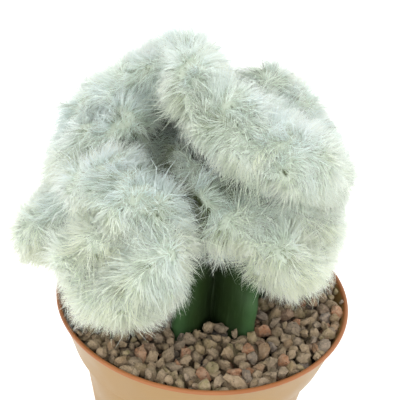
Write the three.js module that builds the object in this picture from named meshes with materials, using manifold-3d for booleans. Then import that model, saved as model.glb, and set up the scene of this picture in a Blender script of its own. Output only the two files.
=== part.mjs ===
// Potted old man cactus: a crested, woolly cactus grafted on a ribbed green rootstock,
// standing in a round plastic plant pot under a dressing of lava gravel.
// Millimetres, +Z up, origin in the middle of the pot's underside, front towards -Y.
import * as THREE from 'three';
import { mergeVertices } from 'three/addons/utils/BufferGeometryUtils.js';
import Module from 'manifold-3d';

// ---- driving dimensions -------------------------------------------------------------

// Clearance left between pieces that touch in the real plant.
const CONTACT_GAP = 0.3;

const POT = {
  height: 105,
  rimRadius: 60,
  lipThickness: 2.4,
  lipDepth: 2.6,
  collarBottomRadius: 53.8,
  collarBottomHeight: 84.4,
  bodyTopRadius: 50.4,
  footRadius: 39,
  footInnerRadius: 30,
  padRadius: 12,
  recess: 2.4,
  floor: 4,
  wall: 1.6,
  rounding: 0.6,
  segments: 40,
};

const DRAIN_HOLES = { count: 8, radius: 4, ringRadius: 21, segments: 12 };

const SOIL_TOP = 90;

const GRAVEL = {
  bedTop: 97.4,
  stoneLevel: 98.6,
  highest: 104,
  stoneSize: 5.6,
  sizeSpread: 0.35,
  spacing: 7.9,
  scatter: 0.25,
  levelScatter: 1.6,
  tilt: 0.9,
};

const ROOTSTOCK = {
  centreX: 2.5,
  centreY: -6,
  bottom: 62,
  top: 131,
  ribs: 5,
  noseRadius: 24.5,
  valleyRadius: 8,
  ribSharpness: 0.9,
  turnDegrees: 10,
  shoulderHeight: 6,
  shoulderRounding: 3,
  segments: 50,
  rows: 4,
};

// The crest is one folded ribbon. Each fold is a run of [x, y, z, radius] stations;
// the radius reaches to the tips of the wool.
const FOLDS = {
  leftBack: [
    [-51, 4, 134, 15], [-53, 12, 146, 15], [-49, 16, 160, 15], [-41, 18, 173, 15],
    [-29, 20, 183, 14], [-13, 20, 190, 15],
  ],
  crown: [
    [-13, 20, 191, 16], [-11, 8, 192, 14], [-6, -4, 187, 13], [4, -11, 182, 14],
    [14, -14, 176, 16], [27, -12, 171, 16], [36, -4, 163, 16], [41, 8, 154, 15],
  ],
  rightBack: [[40, 12, 154, 14], [35, 22, 162, 15], [30, 28, 172, 15], [20, 28, 180, 15]],
  whorl: [
    [-50, -4, 146, 15], [-40, -16, 157, 15], [-30, -23, 158, 15], [-22, -29, 153, 15],
    [-18, -34, 145, 15], [-18, -35, 136, 15], [-24, -35, 127, 15], [-33, -33, 122, 15],
    [-41, -28, 126, 14], [-44, -24, 134, 14], [-34, -29, 142, 13],
  ],
  knob: [[-46, -11, 137, 15], [-54, -9, 134, 16], [-60, -9, 133, 17.5]],
  shoulder: [[-50, 0, 156, 13], [-43, 2, 165, 13], [-36, 4, 170, 12], [-32, 9, 174, 11]],
  skirt: [
    [42, 22, 133, 15], [43, 7, 132, 14], [37, -9, 130, 15], [27, -20, 133, 15],
    [15, -24, 141, 14], [4, -19, 146, 12],
  ],
  shelf: [[3, -7, 151, 13], [18, -14, 149, 13], [32, -10, 147, 14], [42, 4, 144, 14]],
  cleft: [[-14, 6, 160, 9], [-8, -5, 157, 12], [-1, -13, 151, 13], [3, -18, 144, 12]],
  lap: [[-28, -4, 148, 13], [-10, -12, 140, 13]],
  rearLeft: [
    [-52, 10, 148, 14], [-46, 28, 155, 15], [-30, 39, 157, 15], [-16, 42, 144, 15],
    [-24, 36, 130, 15], [-42, 24, 127, 14],
  ],
  rearMiddle: [
    [-8, 22, 178, 15], [1, 36, 169, 15], [8, 43, 157, 15], [10, 44, 142, 15], [2, 36, 130, 15],
  ],
  rearRight: [
    [40, 24, 158, 14], [35, 38, 151, 15], [22, 42, 138, 15], [28, 34, 126, 14], [41, 24, 126, 14],
  ],
  rearHem: [[-24, 26, 131, 15], [24, 26, 130, 15]],
  inner: [[-34, 14, 156, 14], [-11, 21, 157, 13], [9, 9, 173, 14], [30, 14, 165, 15]],
  heart: [[-32, 4, 148, 15], [-10, 8, 143, 16], [10, 8, 144, 16], [28, 8, 148, 15]],
  neck: [[4, -7, 139, 22], [3, 2, 143, 22]],
};

// These folds fill the middle of the plant, where no wool shows.
const PLAIN_FOLDS = ['heart', 'neck'];

// The skin is a grid of points; every second one is drawn out into a tuft of wool.
const WOOL = { tuftLength: 6, gridStep: 5.15, lengthSpread: 0.3, lean: 1.2 };

// ---- solids -------------------------------------------------------------------------

const wasm = await Module();
wasm.setup();

function toSolid(geometry) {
  const bare = geometry.clone();
  bare.deleteAttribute('normal');
  bare.deleteAttribute('uv');
  const welded = mergeVertices(bare, 1e-4);
  return new wasm.Manifold(new wasm.Mesh({
    numProp: 3,
    vertProperties: new Float32Array(welded.attributes.position.array),
    triVerts: new Uint32Array(welded.index.array),
  }));
}

function toGeometry(solid) {
  const mesh = solid.getMesh();
  const geometry = new THREE.BufferGeometry();
  geometry.setAttribute('position', new THREE.BufferAttribute(mesh.vertProperties, mesh.numProp));
  geometry.setIndex(new THREE.BufferAttribute(mesh.triVerts, 1));
  geometry.computeVertexNormals();
  return geometry;
}

// Keeps the largest shell: loose scrap is dropped and sealed pockets are filled.
function mainBody(solid) {
  const shells = solid.decompose();
  return shells.reduce((best, shell) => (shell.volume() > best.volume() ? shell : best));
}

// Turns a profile of [radius, height] points about the vertical axis.
function lathe(profile) {
  const points = profile.map(([radius, height]) => new THREE.Vector2(radius, height));
  const geometry = new THREE.LatheGeometry(points, POT.segments);
  geometry.rotateX(Math.PI / 2);
  return toSolid(geometry);
}

function seededRandom(seed) {
  let state = seed;
  return () => {
    state = (state * 1664525 + 1013904223) % 4294967296;
    return state / 4294967296;
  };
}

// ---- pot ----------------------------------------------------------------------------

function potInnerRadius(z) {
  if (z < POT.collarBottomHeight) {
    const rise = z / POT.collarBottomHeight;
    return THREE.MathUtils.lerp(POT.footRadius, POT.bodyTopRadius, rise) - POT.wall;
  }
  const rise = (z - POT.collarBottomHeight) / (POT.height - POT.collarBottomHeight);
  return THREE.MathUtils.lerp(
    POT.collarBottomRadius - POT.wall, POT.rimRadius - POT.lipThickness, rise,
  );
}

// The step inside the pot where the body widens into the collar.
const LEDGE = POT.collarBottomHeight + POT.wall;

function buildPot() {
  const { rounding } = POT;
  const lipBottom = POT.height - POT.lipDepth;
  let pot = lathe([
    [0, 0],
    [POT.padRadius, 0],
    [POT.padRadius + 1, POT.recess],
    [POT.footInnerRadius - 1, POT.recess],
    [POT.footInnerRadius, 0],
    [POT.footRadius - rounding, 0],
    [POT.footRadius + 0.1, rounding],
    [POT.bodyTopRadius, POT.collarBottomHeight - rounding],
    [POT.collarBottomRadius - rounding, POT.collarBottomHeight],
    [POT.collarBottomRadius, POT.collarBottomHeight + rounding],
    [POT.rimRadius - 1, lipBottom],
    [POT.rimRadius, lipBottom + 0.4],
    [POT.rimRadius, POT.height - rounding],
    [POT.rimRadius - rounding, POT.height],
    [potInnerRadius(POT.height) + rounding, POT.height],
    [potInnerRadius(POT.height - rounding), POT.height - rounding],
    [potInnerRadius(LEDGE), LEDGE],
    [POT.bodyTopRadius - POT.wall, LEDGE - rounding],
    [potInnerRadius(POT.floor), POT.floor],
    [0, POT.floor],
  ]);
  for (let i = 0; i < DRAIN_HOLES.count; i += 1) {
    const angle = (i + 0.5) * (2 * Math.PI / DRAIN_HOLES.count);
    const drill = new THREE.CylinderGeometry(
      DRAIN_HOLES.radius, DRAIN_HOLES.radius, 3 * POT.floor, DRAIN_HOLES.segments,
    );
    drill.rotateX(Math.PI / 2);
    drill.translate(
      DRAIN_HOLES.ringRadius * Math.cos(angle), DRAIN_HOLES.ringRadius * Math.sin(angle), 0,
    );
    pot = pot.subtract(toSolid(drill));
  }
  return pot;
}

// ---- rootstock ----------------------------------------------------------------------

// A ribbed column: its radius swings between the rib noses and the valleys, and the
// noses round off at the top. With an offset it cuts the column's own clearance.
function ribbedColumn(bottom, top, offset = 0) {
  const { noseRadius, valleyRadius, shoulderHeight, segments, rows } = ROOTSTOCK;
  const column = new THREE.CylinderGeometry(1, 1, 1, segments, rows);
  column.rotateX(Math.PI / 2);
  const front = THREE.MathUtils.degToRad(ROOTSTOCK.turnDegrees - 90);
  const position = column.attributes.position;
  for (let i = 0; i < position.count; i += 1) {
    const reach = Math.hypot(position.getX(i), position.getY(i));
    const angle = Math.atan2(position.getY(i), position.getX(i));
    const z = bottom + (position.getZ(i) + 0.5) * (top - bottom);
    const wave = 0.5 - 0.5 * Math.cos(ROOTSTOCK.ribs * (angle - front));
    const rib = Math.pow(wave, ROOTSTOCK.ribSharpness);
    const intoShoulder = Math.max(0, 1 - (ROOTSTOCK.top - z) / shoulderHeight);
    const nose = noseRadius - ROOTSTOCK.shoulderRounding * Math.min(1, intoShoulder) ** 2;
    const radius = reach * (THREE.MathUtils.lerp(valleyRadius, nose, rib) + offset);
    position.setXYZ(
      i,
      ROOTSTOCK.centreX + radius * Math.cos(angle),
      ROOTSTOCK.centreY + radius * Math.sin(angle),
      z,
    );
  }
  return toSolid(column);
}

// ---- soil and gravel ----------------------------------------------------------------

function buildSoil(rootHole) {
  const bottom = POT.floor + CONTACT_GAP;
  const bodyRadius = POT.bodyTopRadius - POT.wall - CONTACT_GAP;
  return lathe([
    [0, bottom],
    [potInnerRadius(bottom) - CONTACT_GAP, bottom],
    [bodyRadius, LEDGE - POT.rounding],
    [bodyRadius, LEDGE + CONTACT_GAP],
    [potInnerRadius(LEDGE) - CONTACT_GAP, LEDGE + CONTACT_GAP],
    [potInnerRadius(SOIL_TOP) - CONTACT_GAP, SOIL_TOP],
    [0, SOIL_TOP],
  ]).subtract(rootHole);
}

// A disc that fits the pot between two heights, clear of its wall.
function discInPot(bottom, top) {
  return lathe([
    [0, bottom],
    [potInnerRadius(bottom) - CONTACT_GAP, bottom],
    [potInnerRadius(top) - CONTACT_GAP, top],
    [0, top],
  ]);
}

function buildStone(random, x, y) {
  const size = GRAVEL.stoneSize * (0.85 + GRAVEL.sizeSpread * random());
  const tilt = new THREE.Euler(
    (random() - 0.5) * GRAVEL.tilt, (random() - 0.5) * GRAVEL.tilt, random() * 2 * Math.PI,
  );
  const stone = new THREE.BoxGeometry(
    size * (0.75 + GRAVEL.sizeSpread * random()),
    size * (0.65 + GRAVEL.sizeSpread * random()),
    size * (0.85 + GRAVEL.sizeSpread * random()),
  );
  stone.applyMatrix4(new THREE.Matrix4().makeRotationFromEuler(tilt));
  stone.translate(x, y, GRAVEL.stoneLevel + (random() - 0.5) * GRAVEL.levelScatter);
  return toSolid(stone);
}

// Rows of stones sunk in a bed, trimmed where they press on the pot and the rootstock.
function buildGravel(rootHole) {
  const random = seededRandom(41);
  const bottom = SOIL_TOP + CONTACT_GAP;
  const solids = [discInPot(bottom, GRAVEL.bedTop)];
  const rowStep = GRAVEL.spacing * Math.sin(Math.PI / 3);
  const rows = Math.ceil(POT.rimRadius / rowStep);
  const scatter = () => (random() - 0.5) * GRAVEL.spacing * GRAVEL.scatter;
  for (let row = -rows; row <= rows; row += 1) {
    for (let column = -rows; column <= rows; column += 1) {
      const x = (column + (row % 2) * 0.5) * GRAVEL.spacing + scatter();
      const y = row * rowStep + scatter();
      const stone = buildStone(random, x, y);
      const fromStem = Math.hypot(x - ROOTSTOCK.centreX, y - ROOTSTOCK.centreY);
      if (Math.hypot(x, y) < potInnerRadius(bottom) && fromStem > ROOTSTOCK.valleyRadius) {
        solids.push(stone);
      }
    }
  }
  const inPot = wasm.Manifold.union(solids).intersect(discInPot(bottom, GRAVEL.highest));
  return mainBody(inPot.subtract(rootHole));
}

// ---- woolly crest -------------------------------------------------------------------

// Two triangles per grid cell, the diagonal always joining its two low points.
function foldFaces(around, rings) {
  const faces = [];
  for (let ring = 0; ring < rings; ring += 1) {
    for (let column = 0; column < around; column += 1) {
      const a = ring * (around + 1) + column;
      const b = a + 1;
      const c = a + around + 1;
      const d = c + 1;
      if (ring === 0) {
        faces.push(a, d, c);
      } else if (ring === rings - 1) {
        faces.push(a, b, c);
      } else if ((ring + column) % 2 === 0) {
        faces.push(a, b, d, a, d, c);
      } else {
        faces.push(a, b, c, b, d, c);
      }
    }
  }
  return faces;
}

// One fold: a tube with rounded ends through its stations, with tufts on its skin.
function buildFold(stations, woolly, random) {
  const path = new THREE.CatmullRomCurve3(
    stations.map(([x, y, z]) => new THREE.Vector3(x, y, z)), false, 'centripetal',
  );
  const length = path.getLength();
  const meanRadius = stations.reduce((sum, station) => sum + station[3], 0) / stations.length;
  const meanSkin = meanRadius - WOOL.tuftLength;
  const gridStep = woolly ? WOOL.gridStep : 2 * WOOL.gridStep;
  const around = 2 * Math.round(Math.PI * (meanSkin + 1) / gridStep);
  const capArc = 0.5 * Math.PI * meanSkin;
  const run = length + 2 * capArc;
  const rings = 2 * Math.round(run / gridStep / 2);
  const frameCount = 200;
  const frames = path.computeFrenetFrames(frameCount, false);
  const fold = new THREE.SphereGeometry(1, around, rings);
  const position = fold.attributes.position;

  for (let ring = 0; ring <= rings; ring += 1) {
    const travelled = (ring / rings) * run;
    const along = THREE.MathUtils.clamp((travelled - capArc) / length, 0, 1);
    const toStart = Math.min(1, travelled / capArc);
    const toEnd = Math.min(1, (run - travelled) / capArc);
    const slope = Math.min(toStart, toEnd) * Math.PI / 2;
    const facing = toStart < 1 ? -1 : 1;
    const centre = path.getPointAt(along);
    const frame = Math.round(along * frameCount);
    const tangent = frames.tangents[frame];
    const place = along * (stations.length - 1);
    const from = Math.min(stations.length - 2, Math.floor(place));
    const outer = THREE.MathUtils.lerp(stations[from][3], stations[from + 1][3], place - from);
    const skin = outer - WOOL.tuftLength;
    for (let column = 0; column < around; column += 1) {
      const angle = (column / around) * 2 * Math.PI;
      const direction = new THREE.Vector3()
        .addScaledVector(frames.normals[frame], Math.cos(angle) * Math.sin(slope))
        .addScaledVector(frames.binormals[frame], Math.sin(angle) * Math.sin(slope))
        .addScaledVector(tangent, facing * Math.cos(slope));
      const point = centre.clone().addScaledVector(direction, skin);
      const isTuft = woolly && (ring + column) % 2 === 1 && slope > 0.25;
      if (isTuft) {
        point.addScaledVector(direction, WOOL.tuftLength * (1 - WOOL.lengthSpread * random()));
        point.addScaledVector(tangent, (random() - 0.5) * 2 * WOOL.lean);
        point.z += (random() - 0.5) * 2 * WOOL.lean;
      }
      position.setXYZ(ring * (around + 1) + column, point.x, point.y, point.z);
      if (column === 0) {
        position.setXYZ(ring * (around + 1) + around, point.x, point.y, point.z);
      }
    }
  }
  fold.setIndex(foldFaces(around, rings));
  return toSolid(fold);
}

function buildCrest(rootSpace) {
  const random = seededRandom(7);
  const folds = Object.entries(FOLDS).map(
    ([name, stations]) => buildFold(stations, !PLAIN_FOLDS.includes(name), random),
  );
  return mainBody(wasm.Manifold.union(folds).subtract(rootSpace));
}

// ---- assembly -----------------------------------------------------------------------

function named(name, solid, color, roughness) {
  const material = new THREE.MeshStandardMaterial({ color, roughness, metalness: 0 });
  const mesh = new THREE.Mesh(toGeometry(solid), material);
  mesh.name = name;
  return mesh;
}

const rootHole = ribbedColumn(ROOTSTOCK.bottom - CONTACT_GAP, POT.height, CONTACT_GAP);
const rootSpace = ribbedColumn(SOIL_TOP, ROOTSTOCK.top + CONTACT_GAP, CONTACT_GAP);

const cactus = new THREE.Group();
cactus.add(named('pot', buildPot(), 0xc98f62, 0.45));
cactus.add(named('potting_soil', buildSoil(rootHole), 0x3c2b20, 0.95));
cactus.add(named('gravel_top', buildGravel(rootHole), 0x76604d, 0.9));
cactus.add(named('rootstock', ribbedColumn(ROOTSTOCK.bottom, ROOTSTOCK.top), 0x2f5230, 0.5));
cactus.add(named('woolly_crest', buildCrest(rootSpace), 0xdde6da, 0.95));

export default cactus;
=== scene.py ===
# A potted old man cactus: a crest of woolly folds, grafted on a ribbed green rootstock,
# in a terracotta-coloured plastic pot with a dressing of lava grit.
# Metres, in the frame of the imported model: +Z up, the pot's foot at Z 0, its front to -Y.
import math

import bpy
import numpy as np
from mathutils import Matrix, Vector


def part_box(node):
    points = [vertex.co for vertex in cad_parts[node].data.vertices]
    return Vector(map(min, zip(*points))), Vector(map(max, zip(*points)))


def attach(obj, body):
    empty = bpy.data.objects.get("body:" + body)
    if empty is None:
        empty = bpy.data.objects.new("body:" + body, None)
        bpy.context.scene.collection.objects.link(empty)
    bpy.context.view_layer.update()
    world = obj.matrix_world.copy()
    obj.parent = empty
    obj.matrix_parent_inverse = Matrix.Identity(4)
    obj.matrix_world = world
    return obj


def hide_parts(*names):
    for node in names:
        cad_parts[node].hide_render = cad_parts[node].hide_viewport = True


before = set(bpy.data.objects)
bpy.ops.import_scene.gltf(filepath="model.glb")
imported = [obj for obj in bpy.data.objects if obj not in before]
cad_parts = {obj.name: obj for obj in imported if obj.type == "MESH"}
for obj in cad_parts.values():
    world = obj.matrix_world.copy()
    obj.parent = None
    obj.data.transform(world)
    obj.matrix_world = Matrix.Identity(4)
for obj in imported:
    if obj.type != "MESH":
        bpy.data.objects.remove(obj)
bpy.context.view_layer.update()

# ============================================================
# Pot. A round nursery pot, thermoformed from thin terracotta-coloured polypropylene:
# a rolled lip, a deep collar that widens upwards, a tapering body, and a recessed foot
# with eight drain holes between its foot ring and a flat pad.
# ============================================================
MM = 0.001
BODY = "root"
pot_low, pot_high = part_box("pot")
RIM_HEIGHT = pot_high.z
RIM_RADIUS = pot_high.x
POT_WALL = 1.6 * MM
POT_FLOOR = 4 * MM
COLLAR_HEIGHT = 84.4 * MM
COLLAR_RADIUS = 53.8 * MM
BODY_TOP_RADIUS = 50.4 * MM
FOOT_RADIUS = 39 * MM
FOOT_INNER_RADIUS = 30 * MM
PAD_RADIUS = 12 * MM
FOOT_RECESS = 2.4 * MM
RECESS_SLOPE = 1 * MM
LIP_THICKNESS = 1.5 * MM
LIP_DEPTH = 1.6 * MM
LIP_OVERHANG = 1 * MM
LIP_BEVEL = 0.2 * MM
POT_ROUNDING = 0.9 * MM
POT_TURNS = 128
POLE_RADIUS = 0.2 * MM
DRAIN_RADIUS = 4 * MM
DRAIN_RING_RADIUS = 21 * MM
DRAIN_COUNT = 8
DRAIN_TURNS = 32
DRILL_BOTTOM = -4 * MM
DRILL_TOP = 12 * MM


def mesh_from(name, points, faces, smooth=True):
    """A mesh made of whole arrays: points (n, 3) in metres and faces (m, 3) or (m, 4)."""
    mesh = bpy.data.meshes.new(name)
    faces = np.ascontiguousarray(faces, dtype=np.int32)
    count, sides = faces.shape
    mesh.vertices.add(len(points))
    mesh.vertices.foreach_set("co", np.ascontiguousarray(points, dtype=np.float32).ravel())
    mesh.loops.add(count * sides)
    mesh.loops.foreach_set("vertex_index", faces.ravel())
    mesh.polygons.add(count)
    mesh.polygons.foreach_set("loop_start", np.arange(0, count * sides, sides, dtype=np.int32))
    mesh.polygons.foreach_set("use_smooth", np.full(count, smooth))
    mesh.update(calc_edges=True)
    return mesh


def add_piece(mesh, material, slot, *nodes):
    """Links a mesh as a piece of the plant that rides on its body and stands for CAD nodes."""
    piece = bpy.data.objects.new(mesh.name, mesh)
    bpy.context.collection.objects.link(piece)
    mesh.materials.clear()
    mesh.materials.append(material)
    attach(piece, BODY)
    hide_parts(*nodes)
    return piece


def rounded(corners, radius, steps=5, most=0.45):
    """A profile whose inner corners are curves: a quadratic from one leg of each to the other,
    that starts and ends the radius from the corner, or at the share 'most' of a short leg."""
    corners = np.array(corners, dtype=float)
    share = np.linspace(0, 1, steps)[:, None]
    outline = [corners[:1]]
    for before, corner, after in zip(corners, corners[1:], corners[2:]):
        inward, outward = before - corner, after - corner
        lengths = np.linalg.norm(inward), np.linalg.norm(outward)
        start = corner + inward / lengths[0] * min(radius, most * lengths[0])
        end = corner + outward / lengths[1] * min(radius, most * lengths[1])
        curve = (1 - share) ** 2 * start + 2 * share * (1 - share) * corner + share ** 2 * end
        outline.append(curve)
    outline.append(corners[-1:])
    return np.vstack(outline)


def ring_faces(rings, turns, first=0):
    """Quads between rings of points that close round, each ring 'turns' points long."""
    row = first + np.arange(rings - 1)[:, None] * turns
    here = np.arange(turns)[None, :]
    there = (here + 1) % turns
    corners = [row + here, row + there, row + turns + there, row + turns + here]
    return np.stack(np.broadcast_arrays(*corners), axis=-1).reshape(-1, 4)


def capped_tube(rings):
    """Points and triangles of a closed skin: rings (r, t, 3), with a fan at either end."""
    count, turns, _ = rings.shape
    points = rings.reshape(-1, 3)
    poles = np.stack([rings[0].mean(0), rings[-1].mean(0)])
    quads = ring_faces(count, turns)
    here = np.arange(turns)
    there = (here + 1) % turns
    last = (count - 1) * turns
    foot = np.stack([np.full(turns, len(points)), there, here], axis=-1)
    head = np.stack([np.full(turns, len(points) + 1), last + here, last + there], axis=-1)
    faces = np.vstack([quads[:, [0, 1, 2]], quads[:, [0, 2, 3]], foot, head])
    return np.vstack([points, poles]), faces


def turned(profile, turns):
    """Rings (r, t, 3) of a profile of (radius, height) rows turned about Z."""
    angle = np.linspace(0, 2 * np.pi, turns, endpoint=False)
    radius, height = profile[:, 0, None], profile[:, 1, None]
    rings = [radius * np.cos(angle), radius * np.sin(angle), height + 0 * angle]
    return np.stack(rings, axis=-1)


def keep_modified(piece):
    """Makes what the modifiers give the piece's own mesh, and removes them."""
    graph = bpy.context.evaluated_depsgraph_get()
    made = bpy.data.meshes.new_from_object(piece.evaluated_get(graph))
    old, name = piece.data, piece.data.name
    piece.modifiers.clear()
    piece.data = made
    bpy.data.meshes.remove(old)
    made.name = name


MOTTLE_INPUTS = {
    "Scale": 100.0, "Detail": 3.0, "Roughness": 0.5, "Low": 0.3, "High": 0.7, "Most": 1.0,
}


def mottle_group():
    """The mottle that several materials use: Height, a noise of Scale cells to the metre in
    the piece's own coordinates, and Amount, that noise stretched from Low..High to 0..Most."""
    tree = bpy.data.node_groups.new("mottle", "ShaderNodeTree")
    for name, value in MOTTLE_INPUTS.items():
        socket = tree.interface.new_socket(name, in_out="INPUT", socket_type="NodeSocketFloat")
        socket.default_value = value
    for name in ("Amount", "Height"):
        tree.interface.new_socket(name, in_out="OUTPUT", socket_type="NodeSocketFloat")
    given = tree.nodes.new("NodeGroupInput").outputs
    made = tree.nodes.new("NodeGroupOutput").inputs
    noise = tree.nodes.new("ShaderNodeTexNoise")
    stretch = tree.nodes.new("ShaderNodeMapRange")
    tree.links.new(tree.nodes.new("ShaderNodeTexCoord").outputs["Object"], noise.inputs["Vector"])
    for name in ("Scale", "Detail", "Roughness"):
        tree.links.new(given[name], noise.inputs[name])
    for name, socket in (("Low", "From Min"), ("High", "From Max"), ("Most", "To Max")):
        tree.links.new(given[name], stretch.inputs[socket])
    tree.links.new(noise.outputs["Fac"], stretch.inputs["Value"])
    tree.links.new(stretch.outputs["Result"], made["Amount"])
    tree.links.new(noise.outputs["Fac"], made["Height"])
    return tree


MOTTLE = mottle_group()


class Nodes:
    """A material's node tree, with short ways to add a node and to link its sockets."""

    def __init__(self, name, roughness, **even):
        """Sets the even values, the ones that are alike all over, on the shader itself."""
        self.material = bpy.data.materials.new(name)
        self.material.use_nodes = True
        self.tree = self.material.node_tree
        self.shader = self.tree.nodes["Principled BSDF"]
        self.shader.inputs["Roughness"].default_value = roughness
        for socket, value in even.items():
            self.shader.inputs[socket.replace("_", " ")].default_value = value

    def add(self, kind, inputs=(), **settings):
        """Adds a node: inputs are (socket, value or output) pairs, settings its properties."""
        node = self.tree.nodes.new(kind)
        for name, value in settings.items():
            setattr(node, name, value)
        for socket, value in dict(inputs).items():
            if isinstance(value, bpy.types.NodeSocket):
                self.tree.links.new(value, node.inputs[socket])
            else:
                node.inputs[socket].default_value = value
        return node

    def places(self):
        """The Object coordinates."""
        return self.add("ShaderNodeTexCoord").outputs["Object"]

    def mottle(self, scale, detail=3.0, roughness=0.5, low=0.3, high=0.7, most=1.0):
        """The mottle group's outputs, Amount and Height, for values of its inputs."""
        values = (scale, detail, roughness, low, high, most)
        return self.add("ShaderNodeGroup", zip(MOTTLE_INPUTS, values), node_tree=MOTTLE).outputs

    def spread(self, value, low, high, to_low=0.0, to_high=1.0):
        """The value stretched from low..high to to_low..to_high, and held there."""
        inputs = {"Value": value, "From Min": low, "From Max": high}
        inputs |= {"To Min": to_low, "To Max": to_high}
        return self.add("ShaderNodeMapRange", inputs).outputs["Result"]

    def blend(self, share, first, second, blend_type="MIX"):
        """Mixes two colours; share, first and second are values or outputs."""
        node = self.add("ShaderNodeMix", {0: share, 6: first, 7: second}, data_type="RGBA")
        node.blend_type = blend_type
        return node.outputs[2]

    def ramp(self, value, stops):
        """A colour ramp over (position, colour) stops."""
        node = self.add("ShaderNodeValToRGB", {"Fac": value})
        elements = node.color_ramp.elements
        while len(elements) < len(stops):
            elements.new(0.5)
        for element, (position, colour) in zip(elements, stops):
            element.position = position
            element.color = colour
        return node.outputs["Color"]

    def finish(self, colour, roughness=None, height=None, depth=0.0, strength=0.5):
        """Feeds the shader's colour, and its roughness and bump where they vary."""
        self.tree.links.new(colour, self.shader.inputs["Base Color"])
        if roughness is not None:
            self.tree.links.new(roughness, self.shader.inputs["Roughness"])
        if height is not None:
            inputs = {"Height": height, "Distance": depth, "Strength": strength}
            bump = self.add("ShaderNodeBump", inputs)
            self.tree.links.new(bump.outputs["Normal"], self.shader.inputs["Normal"])
        return self.material


def colour(red, green, blue):
    """A colour given as 0-255 display values, as linear numbers with full alpha."""
    shown = np.array([red, green, blue]) / 255
    linear = np.where(shown <= 0.04045, shown / 12.92, ((shown + 0.055) / 1.055) ** 2.4)
    return (*(float(x) for x in linear), 1.0)


POT_WALL_COLOUR = colour(133, 105, 62)
POT_WALL_TINT = colour(140, 111, 68)
POT_LIP_COLOUR = colour(134, 82, 44)
POT_LIP_TINT = colour(145, 93, 56)
LIP_COLOUR_START = RIM_HEIGHT - 1.3 * MM
LIP_COLOUR_END = RIM_HEIGHT - 1.0 * MM


def pot_finish():
    """Satin plastic: pale peach walls and a browner lip, both faintly clouded, with a fine
    moulded grain."""
    nodes = Nodes("pot_plastic", 0.45, Specular_IOR_Level=0.25)
    height = nodes.add("ShaderNodeSeparateXYZ", {"Vector": nodes.places()}).outputs["Z"]
    cloud = nodes.mottle(45, 4, 0.5, 0.35, 0.65)["Amount"]
    wall = nodes.blend(cloud, POT_WALL_COLOUR, POT_WALL_TINT)
    lip = nodes.blend(cloud, POT_LIP_COLOUR, POT_LIP_TINT)
    is_lip = nodes.spread(height, LIP_COLOUR_START, LIP_COLOUR_END)
    grain = nodes.mottle(2600, 2)["Height"]
    return nodes.finish(
        nodes.blend(is_lip, wall, lip), roughness=nodes.spread(cloud, 0, 1, 0.36, 0.5),
        height=grain, depth=0.05 * MM, strength=0.25,
    )


lip_start = RIM_HEIGHT - LIP_DEPTH
ledge = COLLAR_HEIGHT + POT_WALL
pot_profile = rounded([
    (POLE_RADIUS, 0),
    (PAD_RADIUS, 0),
    (PAD_RADIUS + RECESS_SLOPE, FOOT_RECESS),
    (FOOT_INNER_RADIUS - RECESS_SLOPE, FOOT_RECESS),
    (FOOT_INNER_RADIUS, 0),
    (FOOT_RADIUS, 0),
    (BODY_TOP_RADIUS, COLLAR_HEIGHT),
    (COLLAR_RADIUS, COLLAR_HEIGHT),
    (RIM_RADIUS - LIP_OVERHANG, lip_start),
    (RIM_RADIUS, lip_start + LIP_BEVEL),
    (RIM_RADIUS, RIM_HEIGHT),
    (RIM_RADIUS - LIP_THICKNESS, RIM_HEIGHT),
    (COLLAR_RADIUS - POT_WALL, ledge),
    (BODY_TOP_RADIUS - POT_WALL, ledge),
    (FOOT_RADIUS - POT_WALL, POT_FLOOR),
    (POLE_RADIUS, POT_FLOOR),
], POT_ROUNDING)
pot_mesh = mesh_from("pot_shell", *capped_tube(turned(pot_profile, POT_TURNS)))
pot_shell = add_piece(pot_mesh, pot_finish(), "pot_plastic", "pot")

drill_profile = np.array([(DRAIN_RADIUS, DRILL_BOTTOM), (DRAIN_RADIUS, DRILL_TOP)])
drill_points, drill_faces = capped_tube(turned(drill_profile, DRAIN_TURNS))
drills = []
for i in range(DRAIN_COUNT):
    turn = (i + 0.5) * 2 * math.pi / DRAIN_COUNT
    middle = (DRAIN_RING_RADIUS * math.cos(turn), DRAIN_RING_RADIUS * math.sin(turn), 0)
    drill = bpy.data.objects.new("drill", mesh_from("drill", drill_points + middle, drill_faces))
    bpy.context.collection.objects.link(drill)
    cut = pot_shell.modifiers.new("drain", "BOOLEAN")
    cut.object = drill
    drills.append(drill)
keep_modified(pot_shell)
for drill in drills:
    bpy.data.objects.remove(drill)


def pot_inner_radius(height):
    """The pot's inner radius: straight from foot to body top, then from collar to lip."""
    body = FOOT_RADIUS + (BODY_TOP_RADIUS - FOOT_RADIUS) * height / COLLAR_HEIGHT - POT_WALL
    rise = (height - COLLAR_HEIGHT) / (RIM_HEIGHT - COLLAR_HEIGHT)
    low, high = COLLAR_RADIUS - POT_WALL, RIM_RADIUS - LIP_THICKNESS
    return np.where(height < ledge, body, low + (high - low) * rise)


# ============================================================
# Potting soil. Peat and bark crumbs that fill the pot to below its collar, poured in
# and pressed by hand, so the surface is lumpy.
# ============================================================
SOIL_BOTTOM = POT_FLOOR + 0.4 * MM
SOIL_TOP = 90 * MM
SOIL_CLEARANCE = 0.7 * MM
SOIL_TURNS = 96
SOIL_ROWS = 24
SOIL_TOP_SHARES = (0.9, 0.75, 0.6, 0.45, 0.3, 0.15, 0.05)
SOIL_SIDE_LUMP = 9 * MM
SOIL_SIDE_DENT = 0.012
SOIL_TOP_LUMP = 7 * MM
SOIL_TOP_LUMP_HEIGHT = 0.6 * MM
SOIL_DARK = colour(34, 24, 17)
SOIL_BROWN = colour(66, 47, 34)
SOIL_FLECK = colour(140, 116, 88)


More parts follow.
